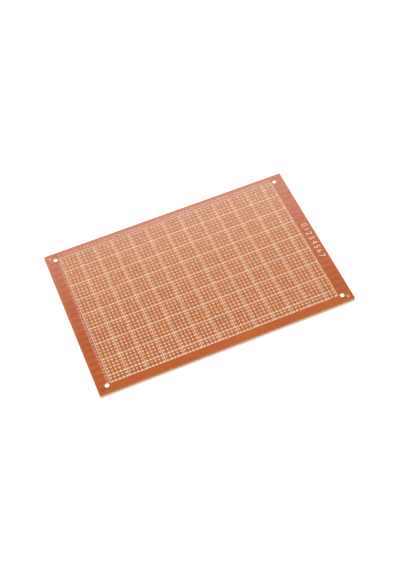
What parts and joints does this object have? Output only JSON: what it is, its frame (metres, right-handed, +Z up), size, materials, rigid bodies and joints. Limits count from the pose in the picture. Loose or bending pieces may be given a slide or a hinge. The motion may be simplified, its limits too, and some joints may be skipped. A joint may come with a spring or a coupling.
{
  "type": "prototype board",
  "caption": "Flat rectangular prototype board with a fine grid of lead holes, copper lands below, a printed counting grid on top and a mounting hole near each corner.",
  "frame": {"origin": "middle of the laminate's underside; the copper foil lies below it, 0.035 mm thick", "axes": "+X along the long sides, +Y along the short sides, +Z up out of the printed face"},
  "size_m": [0.179, 0.1188, 0.0015],
  "materials": {
    "laminate": "brown phenolic-paper laminate with a satin gloss",
    "copper": "etched copper foil under clear flux",
    "ink": "white screen-printed ink"
  },
  "bodies": {
    "root": {"board": "laminate", "lands": "copper", "end_strips": "copper", "print": "ink"}
  },
  "joints": []
}
